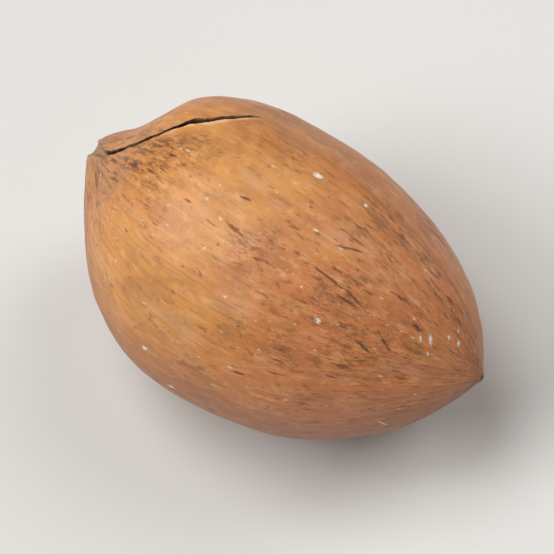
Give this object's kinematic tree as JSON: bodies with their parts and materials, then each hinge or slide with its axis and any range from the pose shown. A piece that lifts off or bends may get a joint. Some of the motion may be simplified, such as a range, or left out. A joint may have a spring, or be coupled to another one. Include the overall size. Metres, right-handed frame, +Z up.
{
  "type": "pecan in shell",
  "caption": "Whole pecan in its shell: a plump egg-shaped nut with two pointed tips, cracked a little way along its suture from one tip.",
  "frame": {"origin": "middle of the bounding box seen from above, at the level of the flat spot that the nut rests on", "axes": "+X along the nut from the split tip to the closed tip, +Z up away from the rest spot; the split suture edge leans from +Z towards +Y"},
  "size_m": [0.0408, 0.0266, 0.0265],
  "materials": {
    "shell": "satin roasted nutshell, tan to pinkish brown with darker streaks and specks"
  },
  "bodies": {
    "root": {"pecan_nut": "shell"}
  },
  "joints": []
}
